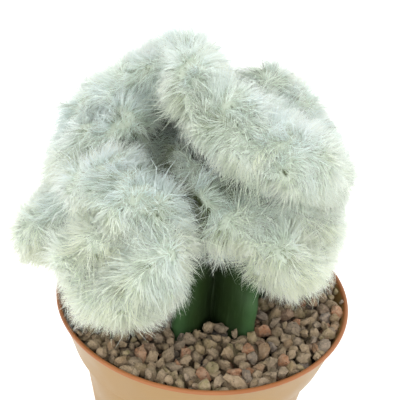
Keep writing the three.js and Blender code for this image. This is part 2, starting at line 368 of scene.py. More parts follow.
def lumps(points, size, seed, waves=9):
    """A smooth field from about -1 to 1: the sum of sine waves of random direction and phase,
    over the root of half their number and over 1.6, to bring the peaks of the sum to one."""
    draw = np.random.default_rng(seed)
    direction = draw.normal(size=(waves, 3))
    direction /= np.linalg.norm(direction, axis=1)[:, None]
    pitch = 2 * np.pi / (size * draw.uniform(0.7, 1.5, waves))
    phase = draw.uniform(0, 2 * np.pi, waves)
    total = np.sin(points @ (direction * pitch[:, None]).T + phase).sum(-1)
    return total / math.sqrt(waves / 2) / 1.6


def soil_finish():
    """Dark peat with paler fibres and grit, rough all over."""
    nodes = Nodes("soil_crumbs", 0.95)
    crumb = nodes.mottle(420, 5, 0.65, 0.3, 0.6)
    fleck = nodes.mottle(1500, 3, 0.6, 0.66, 0.72)["Amount"]
    base = nodes.blend(crumb["Amount"], SOIL_DARK, SOIL_BROWN)
    pale = nodes.blend(fleck, base, SOIL_FLECK)
    return nodes.finish(pale, height=crumb["Height"], depth=1.5 * MM, strength=0.8)


soil_heights = np.linspace(SOIL_BOTTOM, SOIL_TOP, SOIL_ROWS)
soil_side = np.stack([pot_inner_radius(soil_heights) - SOIL_CLEARANCE, soil_heights], axis=-1)
soil_top = [(soil_side[-1, 0] * share, SOIL_TOP) for share in SOIL_TOP_SHARES]
soil_base = [(1 * MM, SOIL_BOTTOM), (soil_side[0, 0] * 0.5, SOIL_BOTTOM)]
soil_rings = turned(np.vstack([soil_base, soil_side, soil_top]), SOIL_TURNS)
soil_rings[..., :2] *= 1 - SOIL_SIDE_DENT * (1 + lumps(soil_rings, SOIL_SIDE_LUMP, 3))[..., None]
top_rings = soil_rings[-len(soil_top):]
top_rings[..., 2] += SOIL_TOP_LUMP_HEIGHT * (lumps(top_rings, SOIL_TOP_LUMP, 4) - 1)
soil_mesh = mesh_from("soil_plug", *capped_tube(soil_rings))
add_piece(soil_mesh, soil_finish(), "soil", "potting_soil")


# ============================================================
# Rootstock. A thick ribbed cactus stem, set in the soil, that the crest was grafted on:
# five broad ribs with rounded noses that draw in a little at each areole, and a waxy
# green skin with a blue bloom.
# ============================================================
STEM_CENTRE = np.array([2.9, -6]) * MM
STEM_BOTTOM = 62 * MM
STEM_TOP = 134 * MM
STEM_RIBS = 5
STEM_NOSE_RADIUS = 25.3 * MM
STEM_VALLEY_RADIUS = 8 * MM
STEM_RIB_SHARPNESS = 0.9
# A valley between two ribs faces 6 degrees to the right of the front.
STEM_TURN = math.radians(6 - 90)
STEM_SHOULDER = 6 * MM
STEM_SHOULDER_ROUNDING = 3 * MM
STEM_SWELL = 0.25 * MM
STEM_DOME = 0.7 * MM
STEM_CAP_SHARES = (0.96, 0.85, 0.6, 0.35, 0.1)
STEM_TURNS = 140
STEM_ROWS = 48
STEM_LUMP = 6 * MM
STEM_LUMP_HEIGHT = 0.15 * MM
AREOLE_SPACING = 15 * MM


def stem_radius(angle, height):
    """Radius of the ribbed stem: a raised cosine between valley and nose, over each rib.
    The noses swell a little between areoles and draw in over the shoulder at the top."""
    shoulder = np.clip((height - STEM_TOP + STEM_SHOULDER) / STEM_SHOULDER, 0, 1)
    swell = STEM_SWELL * np.cos(2 * np.pi * height / AREOLE_SPACING)
    nose = STEM_NOSE_RADIUS - STEM_SHOULDER_ROUNDING * shoulder ** 2 - swell
    crest = 0.5 - 0.5 * np.cos(STEM_RIBS * (angle - STEM_TURN))
    return STEM_VALLEY_RADIUS + (nose - STEM_VALLEY_RADIUS) * crest ** STEM_RIB_SHARPNESS


def stem_finish():
    """Waxy skin: mid green, paler and bluer towards the noses with their bloom, darker olive in the
    valleys as painted shade, with fine upright streaks of short down."""
    nodes = Nodes("green_skin", 0.5, Specular_IOR_Level=0.3)
    rib = nodes.add("ShaderNodeAttribute", attribute_name="rib").outputs["Fac"]
    # Painted shade: the ramp darkens towards the valleys between ribs; the paler, bluer noses are
    # their bloom.
    across = nodes.ramp(rib, [
        (0.0, colour(20, 30, 8)), (0.5, colour(28, 44, 13)),
        (0.85, colour(34, 57, 24)), (1.0, colour(56, 88, 50)),
    ])
    cloud = nodes.mottle(110, 4, 0.6)["Amount"]
    skin = nodes.blend(nodes.spread(cloud, 0, 1, 0, 0.35), across, colour(22, 40, 18))
    stretched = nodes.add("ShaderNodeVectorMath", {0: nodes.places(), 1: (1, 1, 0.1)})
    stretched.operation = "MULTIPLY"
    streak = nodes.add("ShaderNodeTexNoise", {"Vector": stretched.outputs[0], "Scale": 1300})
    streaks = nodes.spread(streak.outputs["Fac"], 0.5, 0.8, 0, 0.3)
    streaked = nodes.blend(streaks, skin, colour(62, 84, 50))
    return nodes.finish(
        streaked, roughness=nodes.spread(cloud, 0, 1, 0.42, 0.6),
        height=nodes.mottle(2400, 2)["Height"], depth=0.08 * MM, strength=0.3,
    )


stem_angles = np.linspace(0, 2 * np.pi, STEM_TURNS, endpoint=False)
stem_side = np.linspace(STEM_BOTTOM, STEM_TOP, STEM_ROWS)
stem_heights = np.concatenate([stem_side, np.full(len(STEM_CAP_SHARES), STEM_TOP)])
stem_shares = np.concatenate([np.ones(STEM_ROWS), STEM_CAP_SHARES])
stem_r = stem_radius(stem_angles[None, :], stem_heights[:, None]) * stem_shares[:, None]
stem_rings = np.stack([
    STEM_CENTRE[0] + stem_r * np.cos(stem_angles),
    STEM_CENTRE[1] + stem_r * np.sin(stem_angles),
    stem_heights[:, None] + 0 * stem_angles + STEM_DOME * (1 - stem_shares)[:, None],
], axis=-1)
stem_rings[..., :2] += STEM_LUMP_HEIGHT * lumps(stem_rings, STEM_LUMP, 8)[..., None]
stem_mesh = mesh_from("rootstock_stem", *capped_tube(stem_rings))
rib_value = np.clip((stem_r - STEM_VALLEY_RADIUS) / (STEM_NOSE_RADIUS - STEM_VALLEY_RADIUS), 0, 1)
rib_values = np.append(rib_value.ravel(), (0, 0)).astype(np.float32)
stem_mesh.attributes.new("rib", "FLOAT", "POINT").data.foreach_set("value", rib_values)
add_piece(stem_mesh, stem_finish(), "green_skin", "rootstock")


# ============================================================
# Lava grit. A dressing of washed volcanic stones, 3 to 8 mm across, spread by hand over
# the soil up to the lip: dull browns and greys with a few rusty and bluish ones.
# ============================================================
STONE_RADIUS = 2.05 * MM
STONE_SPREAD = 0.26
STONE_SIZE_RANGE = (0.66, 1.5)
STONE_LAYERS = [95.6 * MM, 98.8 * MM, 101.6 * MM]
LOWEST_LAYER_SIZE = 1.6
STONE_TRIES = 3000
STONE_CLOSENESS = 0.78
LARGE_FIRST = 0.6
STONE_UNEVEN = 0.6 * MM
STONE_OFF_WALL = 0.8
STONE_OFF_STEM = 0.55
STONE_CUTS = 12
STONE_CUT_DEPTHS = (0.55, 0.95)
STONE_LEAST_SLANT = 0.3
STONE_MOST_REACH = 1.15
STONE_ROUGHNESS = 0.11
STONE_LEAST_STRETCH = (0.9, 0.8, 0.7)
STONE_MOST_STRETCH = (1.5, 1.2, 1.0)
STONE_EDGE_ANGLE = math.radians(24)
STONE_TOP = 104.2 * MM
STONE_BELOW_TOP = 0.8
VALLEY_FILL = 14 * MM
WALL_RISE = 3.6 * MM
WALL_RISE_START = 0.75
WALL_TOP_RISE = 1.2 * MM
STONE_CLEARANCE = 0.1 * MM
GRIT_SEED = 21


def icosphere():
    """The 42 unit directions and 80 triangles of an icosahedron with its edges halved."""
    bpy.ops.mesh.primitive_ico_sphere_add(subdivisions=2, radius=1)
    ball = bpy.context.active_object
    points = np.array([v.co for v in ball.data.vertices])
    faces = np.array([p.vertices for p in ball.data.polygons])
    bpy.data.objects.remove(ball)
    return points, faces


def spaced(points, radii, closeness):
    """Which points stay when no two may lie nearer than closeness times their radii's sum.
    Each pass keeps the points that come before all their rivals and drops those rivals."""
    gap = np.linalg.norm(points[:, None] - points[None], axis=-1)
    rival = gap < closeness * (radii[:, None] + radii[None])
    np.fill_diagonal(rival, False)
    order = np.arange(len(points))
    waiting, kept = np.ones(len(points), bool), np.zeros(len(points), bool)
    while waiting.any():
        first = np.where(rival & waiting[None], order[None], len(order)).min(1)
        chosen = waiting & (order < first)
        kept |= chosen
        waiting &= ~chosen & ~rival[:, chosen].any(1)
    return kept


def random_turns(count, draw):
    """Rotation matrices (n, 3, 3) from random unit quaternions."""
    q = draw.normal(size=(count, 4))
    w, x, y, z = (q / np.linalg.norm(q, axis=1)[:, None]).T
    rows = [
        [1 - 2 * (y * y + z * z), 2 * (x * y - z * w), 2 * (x * z + y * w)],
        [2 * (x * y + z * w), 1 - 2 * (x * x + z * z), 2 * (y * z - x * w)],
        [2 * (x * z - y * w), 2 * (y * z + x * w), 1 - 2 * (x * x + y * y)],
    ]
    return np.moveaxis(np.array(rows), -1, 0)


def stone_finish():
    """Dull pitted stone: a colour of its own for each, mottled, with dark pores."""
    nodes = Nodes("lava_grit", 0.88)
    own = nodes.add("ShaderNodeAttribute", attribute_name="stone").outputs["Fac"]
    body = nodes.ramp(own, [
        (0.00, colour(96, 90, 86)), (0.10, colour(110, 98, 82)), (0.30, colour(123, 107, 82)),
        (0.55, colour(136, 117, 90)), (0.72, colour(114, 105, 70)), (0.86, colour(128, 102, 75)),
        (0.94, colour(148, 101, 69)), (1.00, colour(92, 79, 63)),
    ])
    mottle = nodes.mottle(520, 5, 0.7, 0.4, 0.66, 0.6)
    mottled = nodes.blend(mottle["Amount"], body, colour(164, 144, 122))
    pits = nodes.mottle(1300, 3, 0.65, 0.42, 0.32, 0.75)
    pitted = nodes.blend(pits["Amount"], mottled, colour(60, 48, 38))
    rough = nodes.blend(0.4, mottle["Height"], pits["Height"])
    return nodes.finish(pitted, height=rough, depth=1.1 * MM, strength=0.9)


grit = np.random.default_rng(GRIT_SEED)
ball_points, ball_faces = icosphere()
stone_middles, stone_radii = [], []
for layer_height in STONE_LAYERS:
    stone_sizes = np.exp(STONE_SPREAD * grit.normal(size=STONE_TRIES))
    radii = STONE_RADIUS * stone_sizes.clip(*STONE_SIZE_RANGE)
    if layer_height == STONE_LAYERS[0]:
        radii *= LOWEST_LAYER_SIZE
    # The larger stones mostly try their places first, so the small ones fill the gaps.
    turn_to_try = grit.random(STONE_TRIES) + np.linspace(0, LARGE_FIRST, STONE_TRIES)
    radii = np.sort(radii)[::-1][np.argsort(turn_to_try)]
    reach = pot_inner_radius(layer_height + WALL_RISE) - STONE_OFF_WALL * radii
    across = reach * np.sqrt(grit.random(STONE_TRIES))
    angle = grit.uniform(0, 2 * np.pi, STONE_TRIES)
    flat = np.stack([across * np.cos(angle), across * np.sin(angle)], axis=-1)
    off = flat - STEM_CENTRE
    stem_edge = stem_radius(np.arctan2(off[:, 1], off[:, 0]), layer_height)
    stem_edge = np.maximum(stem_edge, VALLEY_FILL)
    free = np.linalg.norm(off, axis=1) > stem_edge + STONE_OFF_STEM * radii
    flat, radii = flat[free], radii[free]
    stays = spaced(flat, radii, STONE_CLOSENESS)
    flat, radii = flat[stays], radii[stays]
    out = np.linalg.norm(flat, axis=1) / reach.max()
    by_wall = (out - WALL_RISE_START).clip(0) / (1 - WALL_RISE_START)
    height = layer_height + grit.normal(size=len(flat)) * STONE_UNEVEN + by_wall * WALL_RISE
    highest = STONE_TOP + by_wall * WALL_TOP_RISE - radii * STONE_BELOW_TOP
    height = np.minimum(height, highest)
    stone_middles.append(np.column_stack([flat, height]))
    stone_radii.append(radii)
stone_middles, stone_radii = np.vstack(stone_middles), np.concatenate(stone_radii)
stone_count = len(stone_radii)

# Each stone is a ball cut flat by planes: a direction's radius is the least, over the planes,
# of a plane's distance over that direction's share along the plane's normal.
cuts = grit.normal(size=(stone_count, STONE_CUTS, 3))
cuts /= np.linalg.norm(cuts, axis=-1)[..., None]
depths = grit.uniform(*STONE_CUT_DEPTHS, (stone_count, STONE_CUTS))
along_cut = np.einsum("vk,sck->svc", ball_points, cuts)
facet = (depths[:, None] / np.maximum(along_cut, STONE_LEAST_SLANT)).min(-1)
facet = facet.clip(0, STONE_MOST_REACH)
facet *= 1 + STONE_ROUGHNESS * grit.normal(size=facet.shape)
stone_shape = ball_points[None] * facet[..., None]
stretch = grit.uniform(STONE_LEAST_STRETCH, STONE_MOST_STRETCH, (stone_count, 3))
stone_shape *= stretch[:, None]
stone_shape = np.einsum("sij,svj->svi", random_turns(stone_count, grit), stone_shape)
stone_points = stone_shape * stone_radii[:, None, None] + stone_middles[:, None]
wall = pot_inner_radius(stone_points[..., 2]) - STONE_CLEARANCE
past_wall = np.linalg.norm(stone_points[..., :2], axis=-1) / wall
stone_points[..., :2] /= past_wall.clip(1)[..., None]
stone_faces = ball_faces[None] + np.arange(stone_count)[:, None, None] * len(ball_points)
grit_mesh = mesh_from("lava_grit", stone_points.reshape(-1, 3), stone_faces.reshape(-1, 3))
grit_mesh.set_sharp_from_angle(angle=STONE_EDGE_ANGLE)
own_colour = np.repeat(grit.random(stone_count), len(ball_points)).astype(np.float32)
grit_mesh.attributes.new("stone", "FLOAT", "POINT").data.foreach_set("value", own_colour)
add_piece(grit_mesh, stone_finish(), "lava_gravel", "gravel_top")


# ============================================================
# Crest skin. The crested scion's own body: a thin green-grey skin over folds that run
# like a brain's, each a rounded ridge. Only glimpses of it show between the tufts.
# ============================================================
# Each fold's ridge line: (x, y, z) in mm, and the radius out to the tips of its wool.
FOLDS = {
    "left_back": [
        (-51, 4, 134, 15), (-53, 12, 146, 16), (-49, 16, 160, 16.5), (-41, 18, 173, 16.5),
        (-29, 20, 183, 15.5), (-13, 20, 190, 15),
    ],
    "crown": [
        (-13, 20, 191, 16), (-11, 8, 192, 14), (-6, -4, 187, 13), (4, -11, 182, 14),
        (14, -14, 176, 16), (27, -12, 171, 16), (36, -4, 163, 16), (41, 8, 154, 15),
    ],
    "right_back": [(40, 12, 154, 14), (35, 22, 162, 15), (30, 28, 172, 15), (20, 28, 180, 15)],
    "whorl": [
        (-50, -4, 146, 15), (-40, -16, 157, 15), (-30, -23, 158, 15), (-22, -29, 153, 15),
        (-18, -34, 145, 15), (-18, -35, 136, 15), (-24, -35, 127, 15), (-33, -33, 122, 15),
        (-41, -28, 126, 14), (-44, -24, 134, 14), (-34, -29, 142, 13),
    ],
    "knob": [(-46, -11, 137, 15), (-54, -9, 134, 16), (-60, -9, 133, 17.5)],
    "shoulder": [(-50, 0, 156, 14), (-43, 2, 165, 14), (-36, 4, 170, 13), (-32, 9, 174, 12)],
    "skirt": [
        (42, 22, 133, 15), (43, 7, 132, 14), (37, -9, 130, 15), (28, -20, 134, 15),
        (17, -23, 146, 13), (6, -18, 150, 11.5),
    ],
    "shelf": [(3, -7, 151, 13), (18, -14, 149, 13), (31, -10, 147, 13.5), (40, 5, 143, 12)],
    "cleft": [(-14, 6, 160, 9), (-8, -5, 157, 12), (-1, -13, 151, 13), (3, -18, 144, 12)],
    "lap": [(-28, -4, 148, 13), (-10, -12, 140, 13)],
    "rear_left": [
        (-52, 10, 148, 14), (-46, 28, 155, 15), (-30, 39, 157, 15), (-16, 42, 144, 15),
        (-24, 36, 130, 15), (-42, 24, 127, 14),
    ],
    "rear_middle": [
        (-8, 22, 178, 15), (1, 36, 169, 15), (8, 43, 157, 15), (10, 44, 142, 15),
        (2, 36, 130, 15),
    ],
    "rear_right": [
        (40, 24, 158, 14), (35, 38, 151, 15), (22, 42, 138, 15), (28, 34, 126, 14),
        (41, 24, 126, 14),
    ],
    "rear_hem": [(-24, 26, 131, 15), (24, 26, 130, 15)],
    "inner": [(-34, 14, 156, 14), (-11, 21, 157, 13), (9, 9, 173, 14), (30, 14, 165, 15)],
    "heart": [(-32, 4, 148, 15), (-10, 8, 143, 16), (10, 8, 144, 16), (28, 8, 148, 15)],
    "neck": [(4, -5, 141, 20.5), (3, 2, 143, 22)],
}
# Growing points, where the wool parts and the skin shows: (x, y, z) in mm, and how far
# each bends the wool about it.
PARTINGS = np.array([
    (-52, -18, 138), (-37, -33, 137), (-26, -37, 149), (1, -17, 184), (8, -27, 150),
    (15, 14, 184), (-22, 14, 180), (-35, -27, 162), (37, -15, 177), (25, -31, 145),
    (-17, -42, 130), (-64, 14, 150), (-38, 45, 165), (-8, 52, 145), (18, 50, 160),
    (40, 42, 150), (55, 16, 150), (30, 52, 132),
]) * MM
PARTING_SIZE = 6 * MM
# Places where the wool is greyer, some as painted shade under overhanging folds; bluer, as a
# painted sheen; or creamier: (x, y, z), reach in mm.
GREYED_AND_SHADED = np.array([
    (-46, 3, 164, 14), (-34, 6, 174, 6), (43, -9, 152, 13), (-12, 2, 160, 10), (-8, -8, 188, 14),
    (-50, -19, 140, 6), (-30, 44, 150, 16), (20, 46, 150, 16), (50, 20, 140, 12), (46, -5, 152, 14),
]) * MM
BLUE_SHEEN_SPOTS = np.array([(-28, -26, 166, 15), (34, 12, 172, 14), (-40, 8, 172, 10)]) * MM
CREAMED = np.array([(-22, -46, 134, 13), (10, -32, 142, 12), (-58, -14, 134, 12)]) * MM
# Hollows between folds where hardly any light gets in: (x, y, z) and reach in mm.
HOLLOWS = np.array([
    (5, -14, 164, 6), (5, -12, 159, 6.5), (5.5, -16, 157, 5), (-21, 10, 167, 8.5),
    (-16, 6, 163, 6.5), (-20, 13, 177, 6.5),
]) * MM
SPECKS = 60
SPECK_SIZE = 3.6 * MM
BARE_PARTING = 0.7 * MM
BARE_SPECK = 1.5 * BARE_PARTING
WOOL_DEPTH = 5.0 * MM
SKIN_VOXEL = 1.7 * MM
LOBE_SIZE = 15 * MM
LOBE_HEIGHT = 1.8 * MM
KNOLL_SIZE = 7.5 * MM
KNOLL_HEIGHT = 0.9 * MM
SHELTER_PROBES = 10
SHELTER_AHEAD = 1.15
SHELTER_DISTANCES = (9 * MM, 16 * MM, 26 * MM)
DEEP_SHELTER = (0.35, 0.84)
PATH_STEP = 1.5 * MM
SKIN_SMOOTHINGS = 3
SKIN_DARK = colour(58, 64, 44)
SKIN_LIGHT = colour(84, 92, 66)
SKIN_FELT = colour(168, 178, 162)
SKIN_BARE_AND_SHADED_FELT = colour(60, 68, 38)


def fold_path(stations):
    """The ridge line (n, 4): a centripetal Catmull-Rom curve through the stations, with the
    radius in proportion between them. The ends are carried on in a straight line."""
    knots = np.array(stations, dtype=float) * MM
    padded = np.vstack([2 * knots[0] - knots[1], knots, 2 * knots[-1] - knots[-2]])[:, :3]
    steps = np.sqrt(np.linalg.norm(np.diff(padded, axis=0), axis=1))
    made = []
    for i in range(len(knots) - 1):
        a, b, c, d = padded[i:i + 4]
        before, here, after = steps[i:i + 3]
        start = ((b - a) / before - (c - a) / (before + here) + (c - b) / here) * here
        end = ((c - b) / here - (d - b) / (here + after) + (d - c) / after) * here
        count = max(2, round(np.linalg.norm(c - b) / PATH_STEP))
        t = np.linspace(0, 1, count, endpoint=False)[:, None]
        bend = (2 * b - 2 * c + start + end) * t ** 3 + (3 * c - 3 * b - 2 * start - end) * t ** 2
        place = bend + start * t + b
        radius = knots[i, 3] + (knots[i + 1, 3] - knots[i, 3]) * t
        made.append(np.hstack([place, radius]))
    made.append(knots[-1:])
    return np.vstack(made)


def fold_rings(path, inset, turns=20, cap_steps=5):
    """Rings of a tube with round ends along the path, its radius less the wool's depth.
    Across the path, each ring spans a direction square to it and to the path's own plane."""
    tangent = np.gradient(path[:, :3], axis=0)
    tangent /= np.linalg.norm(tangent, axis=1)[:, None]
    upright = np.linalg.svd(path[:, :3] - path[:, :3].mean(0), full_matrices=False)[2][-1]
    side = np.cross(tangent, upright)
    side /= np.linalg.norm(side, axis=1)[:, None]
    rise = np.cross(side, tangent)
    radius = path[:, 3] - inset
    slope = np.linspace(0, np.pi / 2, cap_steps, endpoint=False)[1:]
    head = path[-1:, :3] + tangent[-1:] * (radius[-1] * np.sin(slope))[:, None]
    foot = path[:1, :3] - tangent[:1] * (radius[0] * np.sin(slope))[::-1, None]
    middles = np.vstack([foot, path[:, :3], head])
    radii = np.concatenate([radius[0] * np.cos(slope)[::-1], radius, radius[-1] * np.cos(slope)])
    repeat = np.concatenate([np.zeros(len(slope), int), np.arange(len(path)),
                             np.full(len(slope), len(path) - 1)])
    angle = np.linspace(0, 2 * np.pi, turns, endpoint=False)[None, :, None]
    across = side[repeat][:, None] * np.cos(angle) + rise[repeat][:, None] * np.sin(angle)
    return middles[:, None] + radii[:, None, None] * across


def skin_finish():
    """Grey-green skin under a thin felt of pale wool, darker where it shows through; the felt turns
    dark olive where bare skin shows at growing points and, as painted shade, where it is shut in.
    """
    nodes = Nodes("crest_skin", 0.8)
    felt = nodes.mottle(650, 4, 0.6, 0.26, 0.44)
    green = nodes.blend(nodes.mottle(60, 3, 0.5, 0.35, 0.65)["Amount"], SKIN_DARK, SKIN_LIGHT)
    shut = nodes.add("ShaderNodeAttribute", attribute_name="shelter").outputs["Fac"]
    # Painted shade: the felt turns dark olive where the skin is shut in, and also where bare skin
    # shows at growing points.
    bare_and_shaded_felt = nodes.blend(nodes.spread(shut, *DEEP_SHELTER), SKIN_FELT, SKIN_BARE_AND_SHADED_FELT)
    felted = nodes.blend(felt["Amount"], green, bare_and_shaded_felt)
    return nodes.finish(felted, height=felt["Height"], depth=0.5 * MM, strength=0.6)


paths = {name: fold_path(stations) for name, stations in FOLDS.items()}
tube_points, tube_faces, start = [], [], 0
for path in paths.values():
    points, faces = capped_tube(fold_rings(path, WOOL_DEPTH))
    tube_points.append(points)
    tube_faces.append(faces + start)
    start += len(points)
skin_mesh = mesh_from("crest_skin", np.vstack(tube_points), np.vstack(tube_faces))
crest_skin = add_piece(skin_mesh, skin_finish(), "green_skin", "woolly_crest")
remesh = crest_skin.modifiers.new("joined", "REMESH")
remesh.mode = "VOXEL"
remesh.voxel_size = SKIN_VOXEL
remesh.use_smooth_shade = True
soften = crest_skin.modifiers.new("softened", "SMOOTH")
soften.factor = 0.5
soften.iterations = SKIN_SMOOTHINGS
crest_skin.modifiers.new("triangles", "TRIANGULATE")
keep_modified(crest_skin)


def read_points(data, name):
    """A mesh's points or their normals as an array (n, 3)."""
    values = np.empty(len(data) * 3, np.float32)
    data.foreach_get(name, values)
    return values.reshape(-1, 3).astype(float)


def skin_swell(points):
    """How far the skin swells out at each point: lobes, and smaller knolls on them."""
    lobes = LOBE_HEIGHT * lumps(points, LOBE_SIZE, 60)
    knolls = KNOLL_HEIGHT * lumps(points, KNOLL_SIZE, 61)
    return lobes + knolls


skin = crest_skin.data
skin.name = "crest_skin"
corner, normal = read_points(skin.vertices, "co"), read_points(skin.vertices, "normal")
corner += normal * skin_swell(corner)[:, None]
skin.vertices.foreach_set("co", corner.astype(np.float32).ravel())
skin.update()
normal = read_points(skin.vertices, "normal")

ridge = np.vstack(list(paths.values()))
ridge_fold = np.repeat(np.arange(len(paths)), [len(path) for path in paths.values()])


def nearest_ridge(points, block=20000):
    """For each point, the ridge sample whose wool it is deepest in, and how far it stands
    out of that wool (negative inside): the least of distance less radius."""
    place, depth = np.empty(len(points), int), np.empty(len(points))
    lines, radii = ridge[:, :3].astype(np.float32), ridge[:, 3].astype(np.float32)
    squares = (lines ** 2).sum(1)
    for first in range(0, len(points), block):
        part = points[first:first + block].astype(np.float32)
        square = (part ** 2).sum(1)[:, None] + squares - 2 * part @ lines.T
        gap = np.sqrt(np.maximum(square, 0)) - radii
        place[first:first + block] = gap.argmin(1)
        depth[first:first + block] = gap.min(1)
    return place, depth


def unit(vectors):
    """The vectors at length one."""
    return vectors / np.maximum(np.linalg.norm(vectors, axis=-1, keepdims=True), 1e-9)


def shelter(points, normals):
    """How shut in each point is, 0 to 1: the share of probes, sent out round its normal to
    a few distances, that end inside the wool of a fold."""
    draw = np.random.default_rng(7)
    hidden = np.zeros(len(points))
    for probe in unit(draw.normal(size=(SHELTER_PROBES, 3))):
        way = unit(normals * SHELTER_AHEAD + probe)
        for distance in SHELTER_DISTANCES:
            _, depth = nearest_ridge(points + way * distance)
            hidden += depth < 0
    return hidden / (SHELTER_PROBES * len(SHELTER_DISTANCES))


def near_spots(points, spots):
    """How near each point is to the nearest spot, a row of (x, y, z, reach): a bell curve of
    their distance over the reach; and the way there from that spot."""
    way = points[:, None] - spots[:, :3]
    gap = np.linalg.norm(way, axis=-1) / spots[:, 3]
    nearest = gap.argmin(1)
    return np.exp(-gap.min(1) ** 2), unit(way[np.arange(len(points)), nearest])


# Besides the named growing points, small ones are strewn all over the skin.
specks = corner[np.random.default_rng(11).choice(len(corner), SPECKS)]
partings = np.vstack([
    np.insert(PARTINGS, 3, PARTING_SIZE, axis=1), np.insert(specks, 3, SPECK_SIZE, axis=1),
])
bare_spots = np.column_stack([partings[:, :3], np.full(len(partings), BARE_SPECK)])
# The shelter paints the felt's shade: how shut in each point is, raised where bare skin shows at
# growing points and in the hollows.
skin_shelter = np.maximum(shelter(corner, normal), near_spots(corner, bare_spots)[0])
skin_shelter = np.maximum(skin_shelter, near_spots(corner, HOLLOWS)[0])
shelter_data = skin.attributes.new("shelter", "FLOAT", "POINT").data
shelter_data.foreach_set("value", skin_shelter.astype(np.float32))


# ============================================================
# Wool. Long white hairs grow in tufts from close-set areoles all over the crest, lean with their
# neighbours and hang a little: silky, cream in places and bluish in others, the blue partly a
# painted sheen, and darker deep in the coat and in hollows as painted shade.
# ============================================================
TUFT_SPACING = 2.34 * MM
TUFT_TRIES = 60000
TUFT_SPREAD = 0.75 * MM
ROOT_DEPTH = 0.4 * MM
SWAY_SIZE = 17 * MM
SWAY_LEAN = 0.75
FLICK_SIZE = 6 * MM
FLICK_LEAN = 0.4
OWN_LEAN = 0.15
HANG = 0.55
PARTING_LEAN = 0.55
LEAN_RANGE = (0.6, 1.0)
FACING_OUTWARD = 0.5
GROWING_OUTWARD = 0.4
RISE_RANGE = (-1 * MM, 6 * MM)
SHUT_CURVE = 2.8
LENGTH_PATCH = 8 * MM
LENGTH_IN_PATCHES = 0.25
SHUT_SHORTER = 0.35
DULL_PATCH = 8 * MM
DULL_IN_PATCHES = 0.3
DULL_REGION = 22 * MM
DULL_IN_REGIONS = 0.1
DULL_GREYED_AND_SHADED = 0.38
DULL_PARTED = 0.35
TINT_MIDDLE = 0.58
TINT_SKY_SHEEN_UP = 0.24
TINT_REGION = 30 * MM
TINT_IN_REGIONS = 0.2
TINT_PATCH = 9 * MM
TINT_IN_PATCHES = 0.1
TINT_OWN = 0.07
TINT_AT_SPOTS = 0.25
TINT_LOW_DOWN = 0.16
CREAM_HEIGHT = 148 * MM
CREAM_FADE = 30 * MM
HAIR_LEANS = (0.4, 1.2)
HAIR_LENGTHS = (0.6, 1.1)
HAIR_WIDTHS = (0.75, 1.25)
HAIR_LEAST_LEFT = 0.4
HAIR_TINT = 0.05
HAIR_FACING = 0.12
HAIR_ROUNDING = 0.6
TIP_SPREAD = 0.25
TIP_FALL = 0.25
BEND_WIDTH = 0.8
WOOL_SEED = 5
# Each coat: hairs to a tuft, length, half width, lean, spread of direction, droop of the
# tip, and how far its tips stand out of the fold's wool at least and, on average, more.
COATS = {
    "down": (14, 10.5 * MM, 0.088 * MM, 1.1, 0.26, 0.0, -0.9 * MM, 1.3 * MM),
    "guard": (1, 14 * MM, 0.1 * MM, 0.8, 0.16, 0.8, 0.3 * MM, 1.4 * MM),
}

wool = np.random.default_rng(WOOL_SEED)
triangle = np.empty(len(skin.polygons) * 3, np.int32)
skin.polygons.foreach_get("vertices", triangle)
triangle = triangle.reshape(-1, 3)


def scattered(count):
    """Random places on the skin and their normals: triangles drawn by area, then a point in
    each by two random shares, with the normal of its corners in the same shares."""
    a, b, c = (corner[triangle[:, i]] for i in range(3))
    area = np.linalg.norm(np.cross(b - a, c - a), axis=1)
    chosen = wool.choice(len(triangle), count, p=area / area.sum())
    s, t = wool.random((2, count, 1))
    s, t = np.where(s + t > 1, 1 - s, s), np.where(s + t > 1, 1 - t, t)
    places = a[chosen] + (b - a)[chosen] * s + (c - a)[chosen] * t
    n0, n1, n2 = (normal[triangle[chosen, i]] for i in range(3))
    return places, unit(n0 + (n1 - n0) * s + (n2 - n0) * t)


def flattened(vectors, normals):
    """The vectors less their share along the normals."""
    return vectors - (vectors * normals).sum(-1, keepdims=True) * normals


# One tuft grows in each cell of a grid that the skin passes through, none on the stem.
tuft_places, tuft_normals = scattered(TUFT_TRIES)
cells = np.floor(tuft_places / TUFT_SPACING).astype(int)
firsts = np.unique(cells, axis=0, return_index=True)[1]
tuft_places, tuft_normals = tuft_places[firsts], tuft_normals[firsts]
off = tuft_places[:, :2] - STEM_CENTRE
in_stem = np.linalg.norm(off, axis=1) < stem_radius(np.arctan2(off[:, 1], off[:, 0]), STEM_TOP)
in_stem &= tuft_places[:, 2] < STEM_TOP
bare = np.linalg.norm(tuft_places[:, None] - PARTINGS, axis=-1).min(1) < BARE_PARTING
tuft_places, tuft_normals = tuft_places[~in_stem & ~bare], tuft_normals[~in_stem & ~bare]
tufts = len(tuft_places)

tuft_ridge, tuft_stand = nearest_ridge(tuft_places)
tuft_fold = ridge_fold[tuft_ridge]
tuft_rise = (tuft_stand + WOOL_DEPTH).clip(*RISE_RANGE)

# How shut in a tuft is: its shelter stretched over the deep range, or a hollow's nearness.
open_air, deep = DEEP_SHELTER
tuft_shut = (shelter(tuft_places, tuft_normals) - open_air) / (deep - open_air)
tuft_shut = tuft_shut.clip(0, 1) ** SHUT_CURVE
tuft_hollow = near_spots(tuft_places, HOLLOWS)[0]
tuft_shut = np.maximum(tuft_shut, tuft_hollow)

